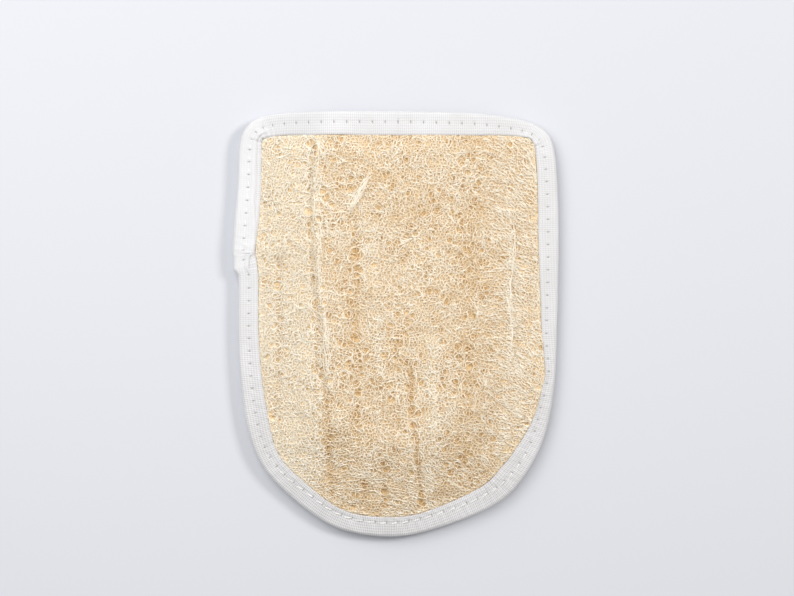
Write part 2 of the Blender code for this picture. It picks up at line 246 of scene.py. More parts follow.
edge = curve_through(OUTLINE, 8, closed=True)
edge = edge - (edge.max(axis=0) + edge.min(axis=0)) / 2
edge *= LENGTH / (edge.max(axis=0) - edge.min(axis=0)).max()
edge_closed = np.vstack([edge, edge[:1]])
sewn = edge[edge[:, 1] < HEM_EDGE]
sewn = np.vstack([sewn[:1] + [0, 60], sewn, sewn[-1:] + [0, 60]])
stations, station_along, edge_length = evenly_spaced(edge, 600)
nearest = np.linalg.norm(TAPE_SHOWS[:, None, :2] - stations, axis=2).argmin(axis=1)
in_turn = np.argsort(nearest)
station_reach = np.interp(station_along, station_along[nearest[in_turn]], TAPE_SHOWS[in_turn, 2],
                          period=edge_length)
print("outline spans", np.round(edge.max(axis=0) - edge.min(axis=0), 1), "mm")

# %% [markdown]
# Thousands of fibres ask for these distances, so they are worked out once on a chart with a
# point every half millimetre and read off between its points.

# %% Charts
CHART_STEP, CHART_HALF = 0.5, np.array([80.0, 104.0])
chart_x = np.arange(-CHART_HALF[0], CHART_HALF[0] + CHART_STEP, CHART_STEP)
chart_y = np.arange(-CHART_HALF[1], CHART_HALF[1] + CHART_STEP, CHART_STEP)
chart_points = np.stack(np.meshgrid(chart_x, chart_y), axis=-1).reshape(-1, 2)


def read(chart, at):
    """The chart's value at each plan point: a weighted mean of the four points round it."""
    place = (np.asarray(at) + CHART_HALF) / CHART_STEP
    limit = np.array([len(chart_x), len(chart_y)]) - 1.001
    place = np.clip(place, 0, limit)
    cell = place.astype(int)
    fx, fy = np.moveaxis(place - cell, -1, 0)
    i, j = cell[..., 0], cell[..., 1]
    low = chart[j, i] * (1 - fx) + chart[j, i + 1] * fx
    high = chart[j + 1, i] * (1 - fx) + chart[j + 1, i + 1] * fx
    return low * (1 - fy) + high * fy


def chart_of(function):
    """The function's values over the whole chart, worked out in slices to save memory."""
    slices = np.array_split(chart_points, 24)
    values = np.concatenate([function(part) for part in slices])
    return values.reshape(len(chart_y), len(chart_x))


def value_noise(at, size, seed):
    """Smooth noise from -1 to 1: random heights on a grid of the given size, blended."""
    draw = np.random.default_rng(seed).uniform(-1, 1, (64, 64))
    place = np.asarray(at) / size + 1000.0
    cell = np.floor(place).astype(int)
    fx, fy = np.moveaxis(smooth_step(place - cell), -1, 0)
    i, j = cell[..., 0] % 64, cell[..., 1] % 64
    i1, j1 = (i + 1) % 64, (j + 1) % 64
    low = draw[j, i] * (1 - fx) + draw[j, i1] * fx
    high = draw[j1, i] * (1 - fx) + draw[j1, i1] * fx
    return low * (1 - fy) + high * fy


edge_chart = chart_of(lambda at: distance_to(edge_closed, at))
seam_chart = chart_of(lambda at: distance_to(sewn, at))
edge_chart *= np.where(is_inside(edge, chart_points).reshape(edge_chart.shape), 1, -1)


def reach_at(at):
    """The tape's visible width at the nearest place on the edge."""
    return station_reach[((at[:, None] - stations) ** 2).sum(2).argmin(1)]


reach_chart = chart_of(reach_at)
print("deepest place inside the edge:", round(float(edge_chart.max()), 1), "mm")

# %% [markdown]
# ## Heights
# The dry panel stands in a low arch over the back, which leaves room for a hand. Inside the
# tape it puffs up. Where the walls of the gourd's seed chambers were pressed flat, long
# furrows run down it, and beside some of them a thick vein stands up as a ridge.

# %% The loofah face's height
ARCH_HEIGHT, ARCH_START, ARCH_RUN = 9.0, 11.0, 35.0
PANEL_LOW, PANEL_EDGE, PANEL_THICK, PUFF_RUN = 3.4, 2.9, 6.2, 8.0
UNDER_TAPE = 3.0  # how high the fibres may stand over PANEL_LOW where the tape covers them

# (depth, half width, points from the cuff downward), all in mm
FURROWS = [
    (0.7, 1.7, [(-39.3, 87.8), (-40.5, 55.4), (-38.6, 28.2), (-38.6, 16.9), (-36.3, -1.9),
                (-38.1, -12.7), (-35.3, -24.4), (-33.0, -32.0), (-31.6, -61.9), (-30.2, -78.9)]),
    (0.45, 1.8, [(-25.5, 55.4), (-18.9, 45.0), (-18.4, 22.5), (-18.9, -1.0), (-16.5, -20.2),
                (-18.0, -29.6), (-18.9, -48.8)]),
    (0.85, 1.1, [(4.6, -16.4), (6.9, -21.6), (6.9, -39.9), (8.8, -48.8), (9.7, -62.0),
                (11.6, -77.9), (12.1, -84.0)]),
    (0.4, 4.0, [(35.1, 84.0), (37.0, 68.5), (37.0, 55.4), (34.2, 48.8), (34.2, 33.3),
                (35.6, 17.4), (34.2, 4.7), (33.2, -16.4), (34.2, -32.0), (30.4, -48.8),
                (30.0, -67.0)]),
    (0.5, 1.8, [(-14.7, -72.0), (-14.5, -87.0)]),
    (0.5, 1.8, [(-5.3, -65.0), (-5.5, -85.0)]),
    (0.8, 2.0, [(-55.0, 30.5), (-55.5, -21.6), (-56.9, -42.3)]),
]
RIDGES = [
    (1.1, 1.7, [(-35.9, 87.0), (-37.4, 55.4), (-35.6, 20.0), (-33.0, -1.9), (-30.4, -30.0)]),
    (0.7, 1.6, [(-22.7, 51.6), (-17.5, 60.0), (-12.3, 69.0)]),
    (0.5, 1.2, [(53.0, 61.0), (53.9, 40.0), (52.8, 18.0), (54.0, -3.0), (53.0, -21.0)]),
    (0.7, 3.0, [(-12.0, 40.0), (-9.0, 10.0), (-8.0, -25.0)]),
    (0.8, 3.0, [(17.0, -10.0), (18.0, -45.0), (17.0, -75.0)]),
]


def tape_reach(at):
    """How much of the tape's width lies flat on the face."""
    return read(reach_chart, at)


def room(at):
    """How far inside the tape's inner edge a plan point is."""
    return read(edge_chart, at) - tape_reach(at)


def arch(at):
    """How far the panel stands above its place at the seam."""
    return ARCH_HEIGHT * smooth_step((read(seam_chart, at) - ARCH_START) / ARCH_RUN)


def relief_at(at):
    """Furrows and ridges: each is a bell across its line, cut off softly at its ends."""
    total = np.zeros(len(at))
    for sign, lines in ((-1, FURROWS), (1, RIDGES)):
        for depth, width, line in lines:
            path = curve_through(np.array(line, float), 4, closed=False)
            total += sign * depth * np.exp(-((distance_to(path, at) / width) ** 2))
    return total


relief_chart = chart_of(relief_at)


def face_height(at):
    """The height of the topmost fibres."""
    inner = room(at)
    bulge = 0.55 * smooth_step((inner + 0.9) / 1.5) + 0.45 * smooth_step(inner / PUFF_RUN)
    thick = PANEL_EDGE + (PANEL_THICK - PANEL_EDGE) * bulge
    lumps = 0.35 * value_noise(at, 9.0, 1) + 0.25 * value_noise(at, 4.0, 2)
    return PANEL_LOW + arch(at) + thick + (read(relief_chart, at) + lumps) * smooth_step(inner / 5)


def in_space(plan, z, under_tape=False):
    """Plan points with their heights, which stay below the tape where it lies on the loofah."""
    if under_tape:
        z = np.where(room(plan) < 0, np.minimum(z, PANEL_LOW + arch(plan) + UNDER_TAPE), z)
    return np.concatenate([plan, z[..., None]], axis=-1)


print("relief from", round(float(relief_chart.min()), 2), "to",
      round(float(relief_chart.max()), 2), "mm")

# %% [markdown]
# ## Table, light and camera
# The photograph looks straight down. A soft light stands to the right at about 45 degrees and
# gives the short shadow on the left. A large one hangs close above, a little to the upper left,
# and makes the table brightest there. Two weak ones open the shadows, and the world stands for
# the pale walls.

# %% Camera
PX = 0.4695  # the photograph's scale, in mm per pixel
MIDDLE_PX, FRAME_PX = (396.25, 325.0), (794, 596)  # the mitt's middle, and the frame
CAMERA_HEIGHT, SENSOR = 0.95, 36.0
FACE_LEVEL = 8 * MM  # the scale holds at the height of the seam
camera_data = bpy.data.cameras.new("camera")
camera_data.sensor_width = SENSOR
camera_data.lens = SENSOR * (CAMERA_HEIGHT - FACE_LEVEL) / (FRAME_PX[0] * PX * MM)
camera = bpy.data.objects.new("camera", camera_data)
camera.location = (
    (FRAME_PX[0] / 2 - MIDDLE_PX[0]) * PX * MM,
    (MIDDLE_PX[1] - FRAME_PX[1] / 2) * PX * MM,
    CAMERA_HEIGHT,
)
bpy.context.scene.collection.objects.link(camera)
bpy.context.scene.camera = camera
print("lens:", round(camera_data.lens, 1), "mm")

# %% Table and lights
bpy.context.scene.view_settings.view_transform = "Standard"
table_finish, _, table_shader = new_material("matt white laminate")
table_shader.inputs["Base Color"].default_value = linear("#CDCFD5")
table_shader.inputs["Roughness"].default_value = 0.7
bpy.ops.mesh.primitive_plane_add(size=4.0, location=(0, 0, -0.2 * MM))
table = bpy.context.object
table.name = "table"
table.data.materials.append(table_finish)


def soft_light(name, toward, distance, size, watts, colour):
    """A square lamp that stands in the given direction and faces the mitt."""
    lamp = bpy.data.lights.new(name, "AREA")
    lamp.size, lamp.energy = size, watts
    lamp.color = linear(colour)[:3]
    holder = bpy.data.objects.new(name, lamp)
    direction = Vector(toward).normalized()
    holder.location = direction * distance
    holder.rotation_euler = direction.to_track_quat("Z", "Y").to_euler()
    bpy.context.scene.collection.objects.link(holder)


soft_light("key_light", (0.93, 0.4, 0.96), 1.6, 0.4, 12.2, "#FFFCF8")
soft_light("top_light", (-0.35, 0.35, 0.9), 0.95, 0.8, 6.6, "#FFFFFF")
soft_light("left_light", (-0.55, 0.7, 0.6), 1.4, 1.0, 4.4, "#FFFFFF")
soft_light("right_fill", (1.0, 0.1, 0.3), 1.5, 0.6, 0.8, "#FFFFFF")
world = bpy.data.worlds.new("studio")
world.use_nodes = True
walls = world.node_tree.nodes["Background"]
walls.inputs["Color"].default_value = linear("#FFFFFF")
walls.inputs["Strength"].default_value = 0.325
bpy.context.scene.world = world

# %% [markdown]
# ## Loofah
# A dried loofah is a mat of woody veins that branch and rejoin. Four things together give
# that: a golden core that closes the view between the fibres, a pale net of short struts that
# meet in threes, fine golden fibres below it, and longer pale ones that wander over it. The
# golden of the core and of the deeper fibres is painted shade: the deeper a thing lies, the
# more golden it is coloured. Real fibres are 0.3 to 0.5 mm thick, and lie a millimetre or two
# apart.

# %% Loofah finishes
SIDE_SHADE = 0.46  # painted shade: how much more golden a fibre is painted at its sides than on top
CLOUD_TONE = 0.3  # how much the paler and darker clouds differ


def fibre_material(name, stops, roughness, net_size=None):
    """Dried plant fibre, bleached by soaking: each fibre has its own tone. The tone also carries
    painted shade: fibres that lie deeper are painted more golden, and so are each fibre's sides,
    where a round fibre turns away from the light. It is matt, with a faint waxy gloss. A net size
    in mm adds a net of finer fibres to a solid face, painted paler than its gaps, whose golden is
    painted shade. The noises are 22 mm wide clouds, a grain of 1.1 mm, coarser than the real one
    so that it shows, and bends of 1.4 mm."""
    made, tree, shader = new_material(name)
    tone = add(tree, "Attribute", {"attribute_name": "tone"}).outputs["Fac"]
    place = add(tree, "TexCoord").outputs
    where = place["Object"]
    cloud = add(tree, "TexNoise", {"Scale": 45.0, "Detail": 3.0}, Vector=where)
    grain = add(tree, "TexNoise", {"Scale": 900.0, "Detail": 2.0}, Vector=where)
    height = grain.outputs["Fac"]
    if net_size:
        warp = add(tree, "TexNoise", {"Scale": 700.0, "Detail": 1.0}, Vector=where)
        bent = add(tree, "VectorMath", {"operation": "MULTIPLY_ADD", "_1": (0.0008,) * 3},
                   _0=warp.outputs["Color"], _2=where)
        cells = add(tree, "TexVoronoi", {"feature": "DISTANCE_TO_EDGE", "Scale": 1000 / net_size},
                    Vector=bent.outputs[0])
        line = add(tree, "MapRange", {"From Min": 0.05, "From Max": 0.3, "To Min": 1.0,
                                      "To Max": 0.0}, Value=cells.outputs["Distance"])
        height = line.outputs["Result"]
        raised = add(tree, "Math", {"operation": "MULTIPLY_ADD", "_1": 0.6}, _0=height, _2=tone)
        tone = raised.outputs[0]
    # Painted shade: the less the normal points up, the more golden the fibre's side.
    up = add(tree, "SeparateXYZ", Vector=place["Normal"])
    shifted = add(tree, "Math", {"operation": "MULTIPLY_ADD", "_1": CLOUD_TONE},
                  _0=cloud.outputs["Fac"], _2=tone)
    topped = add(tree, "Math", {"operation": "MULTIPLY_ADD", "_1": SIDE_SHADE},
                 _0=up.outputs["Z"], _2=shifted.outputs[0])
    centred = add(tree, "Math", {"operation": "SUBTRACT", "_1": CLOUD_TONE / 2 + SIDE_SHADE},
                  _0=topped.outputs[0])
    colour = add(tree, "ValToRGB", {"stops": stops}, Fac=centred.outputs[0])
    dress(tree, shader, colour.outputs["Color"], height, 0.25, 0.0003 if net_size else 0.0001)
    shader.inputs["Roughness"].default_value = roughness
    shader.inputs["Specular IOR Level"].default_value = 0.3
    return made


FIBRE_STOPS = [(0.0, "#E8CA9D"), (0.3, "#F5DFBC"), (0.6, "#FDEFD7"), (1.0, "#FFF9E9")]
fibre_finish = fibre_material("bleached loofah fibre", FIBRE_STOPS, 0.55)
# The core's golden colours are painted shade of the deeper fibres under the net.
CORE_SHADE_STOPS = [(0.0, "#C09C69"), (0.35, "#DCBF90"), (1.0, "#F5E6C7")]
core_shade_finish = fibre_material("loofah core in painted shade", CORE_SHADE_STOPS, 0.7, net_size=1.0)

# %% Tubes along many paths at once


def tubes(paths, radii, sides):
    """A round tube along each path. paths is tubes x points x 3, and radii is tubes x points.
    Each ring of points is the path's point plus the radius times a circle that stands across
    its direction. A corner points down, so with three sides a whole side faces up. Gives
    points, four-sided walls and flat ends."""
    count, steps, _ = paths.shape
    ahead = np.gradient(paths, axis=1)
    ahead /= np.linalg.norm(ahead, axis=2, keepdims=True) + 1e-9
    side = np.cross(ahead, np.array([0.0, 0.0, 1.0]))
    side /= np.linalg.norm(side, axis=2, keepdims=True) + 1e-9
    over = np.cross(side, ahead)
    turn = np.arange(sides) * 2 * np.pi / sides - np.pi / 2
    circle = (
        np.cos(turn)[:, None] * side[:, :, None] + np.sin(turn)[:, None] * over[:, :, None]
    )
    points = paths[:, :, None] + radii[:, :, None, None] * circle
    index = np.arange(count * steps * sides).reshape(count, steps, sides)
    after = np.roll(index, -1, axis=2)
    walls = np.stack([index[:, :-1], after[:, :-1], after[:, 1:], index[:, 1:]], axis=-1)
    ends = np.concatenate([index[:, 0, ::-1], index[:, -1]])
    return points.reshape(-1, 3), walls.reshape(-1, 4), ends


def tube_piece(name, paths, radii, sides, tones, material):
    """One object with a tube along each path; sizes in mm. tones has one number a point."""
    points, walls, ends = tubes(paths, radii, sides)
    values = np.repeat(tones.ravel(), sides)
    return mesh_piece(name, points * MM, [walls, ends], material, {"tone": values})


# %% [markdown]
# ### Pores and grain
# Two things give the tangle its look. Round pores are left open between the fibres, most of
# them in the furrows. Every fibre bends round them, so each place is pushed away from the
# nearest pores. And the fibres have a grain: nearly side by side at the right side of the
# panel, where they run outward, looser at the left, and a swirling tangle in the middle.

# %% Pores
PANEL_HALF = [76, 100]
pore_draw = np.random.default_rng(3)
pore_at = pore_draw.uniform(-1, 1, (6000, 2)) * PANEL_HALF
pore_at = pore_at[room(pore_at) > 0.8]
furrow_here = np.clip(-read(relief_chart, pore_at), 0, 2)
patchy = value_noise(pore_at, 11.0, 4) + 0.6 * value_noise(pore_at, 5.0, 5)
# the share of the tries that stay: most in furrows, fewest at the tip and the right side
wanted = 0.15 + 0.28 * np.clip(patchy, -0.4, 1) + 0.6 * furrow_here
wanted *= 1 - 0.5 * smooth_step((-25 - pore_at[:, 1]) / 20) * (furrow_here < 0.3)
wanted *= 1 - 0.6 * smooth_step((pore_at[:, 0] - 36) / 12)
pore_at = pore_at[pore_draw.uniform(0, 1, len(pore_at)) < wanted]
pore_size = pore_draw.uniform(0.45, 1.1, len(pore_at))
pore_turn = pore_draw.uniform(0, np.pi, len(pore_at))
pore_long = pore_draw.uniform(1.0, 1.7, len(pore_at))
pores = (pore_at, pore_size, pore_turn, pore_long)
print(len(pore_at), "pores")


def pore_push(at):
    """How far a place is moved away from each pore's middle: by the pore's radius close to
    it, fading as a bell with distance. A pore is longer one way, so the distance along that
    way counts for less. Also gives how deep in a pore the place lies."""
    push, deep = np.zeros_like(at), np.zeros(len(at))
    low, high = at[:, 1].min() - 5, at[:, 1].max() + 5
    near = (pore_at[:, 1] > low) & (pore_at[:, 1] < high)
    for centre, size, turn, long in zip(*(values[near] for values in pores)):
        close = np.abs(at[:, 1] - centre[1]) < 5
        away = at[close] - centre
        length_way = np.array([np.cos(turn), np.sin(turn)])
        along = away @ length_way
        distance = np.sqrt(np.maximum((away ** 2).sum(1) - along ** 2 * (1 - long ** -2), 1e-9))
        bell = np.exp(-((distance / (1.5 * size)) ** 2))
        length = np.linalg.norm(away, axis=1) + 1e-6
        push[close] += away / length[:, None] * (size * bell)[:, None]
        deep[close] = np.maximum(deep[close], np.exp(-((distance / (1.15 * size)) ** 2)))
    return np.column_stack([push, deep])


push_charts = np.concatenate([pore_push(p) for p in np.array_split(chart_points, 60)])
push_charts = push_charts.reshape(len(chart_y), len(chart_x), 3)


def moved_round_pores(plan, share):
    """Plan points pushed out of the pores, by a share of the whole way."""
    return plan + share * np.stack([read(push_charts[..., i], plan) for i in (0, 1)], axis=-1)


def pit_at(plan):
    """How deep in a pore a plan point lies, from 0 to 1."""
    return read(push_charts[..., 2], plan)


# %% Grain


def grain_angle(at):
    """The grain's direction: it rises to the right at the left side, falls at the right side,
    and swirls, most of all in the middle."""
    middle = smooth_step((read(seam_chart, at) - 24) / 22) * smooth_step((52 - at[..., 0]) / 18)
    lean = np.deg2rad(8 - 44 * (at[..., 0] + 60) / 120)
    swirl = value_noise(at, 13.0, 7) + 0.5 * value_noise(at, 6.0, 8)
    left = smooth_step((-26 - at[..., 0]) / 10)
    return lean + swirl * (0.25 + 1.7 * middle + 0.8 * left * (1 - middle)), middle


def fibres_along_grain(count, steps, reach, seed):
    """Fibres seen from above. From its middle each walks both ways along the grain, with a
    turn of its own. Those near the edge are short, so that none runs out of the panel."""
    draw = np.random.default_rng(seed)
    at = draw.uniform(-1, 1, (count * 3, 2)) * PANEL_HALF
    bare = 0.25 + np.clip(-read(relief_chart, at), 0, 2) * 0.25
    bare = bare - 0.25 * smooth_step((at[:, 0] - 36) / 12)
    at = at[(room(at) > -0.8) & (draw.uniform(0, 1, len(at)) > bare)][:count]
    loose = np.maximum(grain_angle(at)[1], 0.9 * smooth_step((-26 - at[:, 0]) / 10))
    own = draw.normal(0, 1, len(at)) * (0.25 + 0.8 * loose)
    bend = draw.normal(0, 0.12, len(at))
    longest = 3.0 + 2.0 * np.minimum(room(at).clip(0), 2.0 + loose * 20)
    length = np.minimum(reach * draw.uniform(0.5, 1.6, len(at)), longest)
    half = (steps - 1) // 2
    stride = length / (2 * half)
    sides = []
    for way in (1, -1):
        place, walked = at.copy(), []
        for step in range(1, half + 1):
            angle = grain_angle(place)[0] + own + way * bend * step * stride
            heading = np.column_stack([np.cos(angle), np.sin(angle)])
            place = place + way * stride[:, None] * heading
            walked.append(place)
        sides.append(np.stack(walked, axis=1))
    return np.concatenate([sides[1][:, ::-1], at[:, None], sides[0]], axis=1), draw


def tone_at(plan, bleached):
    """How much paler the fibres are painted than elsewhere. Cloudy patches vary it at random; the
    rest
    is painted light and shade: paler on ridges and, by the bleached share, at the panel's sides,
    which slope toward the lamps; more golden in furrows and along the tape's inner edge."""
    patches = 0.12 * value_noise(plan, 7.0, 61) + 0.1 * value_noise(plan, 3.2, 62)
    left, right = (-30 - plan[..., 0]) / 14, (plan[..., 0] - 44) / 12
    # Painted light: the panel's sides slope toward the lamps.
    sides = 0.85 * smooth_step(left) + 0.25 * smooth_step(right)
    # Painted shade along the tape's inner edge, where it shadows the loofah.
    rim = -0.35 * smooth_step((0.7 - room(plan)) / 0.7)
    # Painted shade in the furrows, painted light on the ridges.
    relief = read(relief_chart, plan)
    relief = np.clip(np.where(relief < 0, 0.33, 0.3) * relief, -0.35, 0.3)
    return patches + bleached * sides + rim + relief


def fibre_layer(name, count, steps, reach, depths, thickness, brightness, open_share, seed):
    """A layer of fibres. Each lies under the face by its own depth, waves a little and dives
    at its ends, where it joins the fibres below. Under the tape all stay below its height."""
    plan, draw = fibres_along_grain(count, steps, reach, seed)
    plan = moved_round_pores(plan, open_share)
    count = len(plan)
    t = np.linspace(-1, 1, steps)
    depth = draw.uniform(*depths, (count, 1)) + 0.4 * np.abs(t) ** 3
    depth = depth + 0.12 * np.sin(draw.uniform(0, 6.3, (count, 1)) + 3.0 * t)
    pit = pit_at(plan)
    paths = in_space(plan, face_height(plan) - depth - 0.25 * pit, under_tape=True)
    radii = draw.uniform(*thickness, (count, 1)) / 2 * (1 - 0.4 * np.abs(t) ** 4)
    # Painted shade: fibres that lie deeper, and those in pores, get a lower, more golden tone.
    tones = brightness + draw.normal(0, 0.14, (count, 1)) - 0.28 * (depth - depths[0]) - 0.3 * pit
    tones = np.clip(tones + tone_at(plan, 0.5 + 0.5 * brightness), 0, 1)
    return tube_piece(name, paths, radii, 3, tones, fibre_finish)


long_fibres = fibre_layer(
    "loofah_fibres", count=7000, steps=5, reach=3.2, depths=(0.0, 0.25), thickness=(0.3, 0.44),
    brightness=0.9, open_share=1.0, seed=11,
)
# The web lies deeper than the long fibres, and its low brightness is painted shade.
fine_fibres = fibre_layer(
    "loofah_web", count=3800, steps=5, reach=2.6, depths=(0.45, 0.85), thickness=(0.22, 0.34),
    brightness=0.4, open_share=0.6, seed=12,
)

# %% [markdown]
# The thick veins are bundles: ten fibres side by side along each ridge, each one starting and
# ending at its own place.

# %% Bundles along the veins


def vein_bundles(name, per_line, steps, seed):
    """Fibres that follow the ridges' lines with small offsets."""
    draw = np.random.default_rng(seed)
    plans = []
    for _, width, line in RIDGES[:3]:
        path = curve_through(np.array(line, float), 12, closed=False)
        along = np.r_[0, np.cumsum(np.linalg.norm(np.diff(path, axis=0), axis=1))]
        length = np.minimum(draw.uniform(8, 24, (per_line, 1)), 0.9 * along[-1])
        begin = draw.uniform(0, 1, (per_line, 1)) * (along[-1] - length)
        place = begin + length * np.linspace(0, 1, steps)
        offset = draw.normal(0, 0.75 * width, (per_line, 1))
        wander = offset + 0.35 * np.sin(place / draw.uniform(1.5, 3, (per_line, 1)) + offset * 9)
        plan = place_on(path, along, place)
        across = np.gradient(plan, axis=1)[..., ::-1] * [-1, 1]
        across /= np.linalg.norm(across, axis=-1, keepdims=True)
        plans.append(plan + across * wander[..., None])
    plan = np.concatenate(plans)
    t = np.linspace(-1, 1, steps)
    depth = draw.uniform(0.0, 0.3, (len(plan), 1)) + 0.7 * np.abs(t) ** 5
    paths = in_space(plan, face_height(plan) - depth)
    radii = draw.uniform(0.34, 0.5, (len(plan), 1)) / 2 * (1 - 0.4 * np.abs(t) ** 4)
    # Painted shade: the deeper parts of a vein get a lower, more golden tone.
    tones = np.clip(1.0 + draw.normal(0, 0.1, (len(plan), 1)) - 0.4 * depth, 0, 1)
    return tube_piece(name, paths, radii, 3, tones, fibre_finish)


veins = vein_bundles("loofah_veins", per_line=10, steps=14, seed=15)

# %% [markdown]
# The net under them is found from scattered points: join the points into triangles, and let a
# strut run between the middles of each two triangles that share a side. Struts then meet in
# threes round many-sided pores, as veins do.

# %% The net of struts
NET_CELL = 1.6


def triangles_of(points, border=None):
    """Delaunay triangles of the plan points, or only those inside a border loop, whose points
    come first."""
    plan = [Vector(p) for p in points]
    edges = [] if border is None else [(i, (i + 1) % border) for i in range(border)]
    _, _, faces, origin, _, _ = delaunay_2d_cdt(plan, edges, [], 0 if border is None else 1, 1e-6)
    first = np.array([o[0] for o in origin])
    return first[np.array(faces)]


def scattered(cell, jitter, margin, seed):
    """Jittered points of a triangular grid that lie on the panel."""
    draw = np.random.default_rng(seed)
    half_x, half_y = CHART_HALF - 2
    x, y = np.meshgrid(np.arange(-half_x, half_x, cell), np.arange(-half_y, half_y, cell * 0.866))
    x = x + (np.arange(len(x)) % 2)[:, None] * cell / 2
    at = np.stack([x, y], axis=-1).reshape(-1, 2)
    at = at + draw.uniform(-jitter, jitter, at.shape) * cell
    return at[room(at) > margin]


def strut_ends(points):
    """The middles of each two triangles that share a side, as an array of pairs."""
    faces = triangles_of(points)
    middle = points[faces].mean(axis=1)
    sides = np.concatenate([faces[:, [0, 1]], faces[:, [1, 2]], faces[:, [2, 0]]])
    sides = np.sort(sides, axis=1)
    owner = np.tile(np.arange(len(faces)), 3)
    order = np.lexsort((sides[:, 1], sides[:, 0]))
    sides, owner = sides[order], owner[order]
    same = (sides[1:] == sides[:-1]).all(axis=1)
    return middle[np.stack([owner[:-1][same], owner[1:][same]], axis=1)]


def net_of_struts(cell, seed, depth, thickness, brightness):
    """Straight struts between the net's joints, which share their heights. At the right side
    fewer of them run across the grain. Gives the struts' ends, radii and tones."""
    draw = np.random.default_rng(seed)
    ends = strut_ends(scattered(cell, 0.45, -1.0, seed))
    middle, run = ends.mean(axis=1), ends[:, 1] - ends[:, 0]
    long = np.linalg.norm(run, axis=1)
    turned = np.arctan2(run[:, 1], run[:, 0]) - grain_angle(middle)[0]
    combed = 0.2 * smooth_step((middle[:, 0] - 34) / 16) * np.abs(np.sin(turned))
    kept = (long < 2.5 * cell) & (room(middle) > -1.2) & (draw.uniform(0, 1, len(ends)) > combed)
    plan = moved_round_pores(ends[kept], 1.0)
    pit = pit_at(plan)
    sink = depth + 0.15 * value_noise(plan, 3.0, seed) + 0.3 * pit
    radii = draw.uniform(*thickness, (len(plan), 1)) / 2 * np.ones(2)
    # Painted shade: struts in pores get a lower, more golden tone.
    tones = brightness + draw.normal(0, 0.14, (len(plan), 1)) - 0.3 * pit
    tones = tones + tone_at(plan, 0.5 + 0.5 * brightness)
    paths = in_space(plan, face_height(plan) - sink, under_tape=True)
    return paths, radii, np.clip(tones, 0, 1)


# The net lies between the two layers, and its middling brightness is painted shade.
struts, strut_radii, strut_tones = net_of_struts(
    NET_CELL, seed=21, depth=0.3, thickness=(0.34, 0.5), brightness=0.66)
at_cuff = struts[:, 0, 1] > 0
net_at_cuff, net_at_tip = (
    tube_piece(name, struts[half], strut_radii[half], 3, strut_tones[half], fibre_finish)
    for name, half in (("loofah_net_at_cuff", at_cuff), ("loofah_net_at_tip", ~at_cuff))
)

# %% [markdown]
# The core is a closed slab that follows the face from below, so that no fibre hangs over
# nothing. Its golden colour, which shows between the fibres, is painted shade of the deeper
# fibres. Its lower side is the pocket's ceiling.

# %% The core
RIM_INSET = 1.6  # how far the panel and the back stop short of the tape's fold


def filled(border, spacing, seed):
    """The border loop's points, then scattered points inside it, and triangles over both."""
    inner = scattered(spacing, 0.3, -9.0, seed)
    closed = np.vstack([border, border[:1]])
    inner = inner[is_inside(border, inner) & (distance_to(closed, inner) > 0.4 * spacing)]
    plan = np.vstack([border, inner])
    return plan, triangles_of(plan, border=len(border))


def slab(name, border, spacings, top, bottom, material, tone, seed):
    """A closed slab: one filled border as its top, one turned over as its bottom, and a wall
    between the two borders. spacings are the top's and the bottom's."""
    (upper, roof), (lower, floor) = (filled(border, s, seed) for s in spacings)
    n, b = len(upper), np.arange(len(border))
    wall = np.column_stack([b, b + n, np.roll(b, -1) + n, np.roll(b, -1)])
    points = np.vstack([
        np.column_stack([upper, top(upper)]), np.column_stack([lower, bottom(lower)]),
    ])
    tones = np.r_[tone(upper), np.full(len(lower), 0.4)]
    return mesh_piece(name, points * MM, [roof, floor[:, ::-1] + n, wall], material,
                      {"tone": tones})


def core_top(at):
    """A millimetre under the face, and deeper at the pores."""
    sunk = 0.95 + 0.15 * value_noise(at, 1.8, 5) + 0.5 * pit_at(at)
    sunk = sunk * (0.5 + 0.5 * smooth_step((room(at) - 0.2) / 1.2))
    return np.maximum(face_height(at) - sunk, PANEL_LOW + arch(at) + 0.6)


def core_shade_tone(at):
    """Painted shade: more golden at the pores' bottoms, on top of the fibres' tone."""
    return np.clip(0.2 - 0.45 * pit_at(at) + 0.6 * tone_at(at, 0.7), -0.3, 1)


border, _, _ = evenly_spaced(edge, 420)
border = border + inward(border) * RIM_INSET
core = slab("loofah_core", border, (1.15, 3.5), core_top, lambda at: PANEL_LOW + arch(at),
            core_shade_finish, core_shade_tone, 31)

# %% [markdown]
# ## Binding tape
# The tape is a white ribbed strip, folded over the edge like a long hairpin. So its shape is
# one hairpin profile carried along the outline. The weft makes a rib every 0.9 mm, and each
# rib is drawn with three steps. The tape's selvedge is scalloped by the ribs, and the row of
# stitches pinches it, most of all at the needle's holes.

# %% Tape finish
RIB, YARN, STITCH = 0.9, 1.25, 6.0


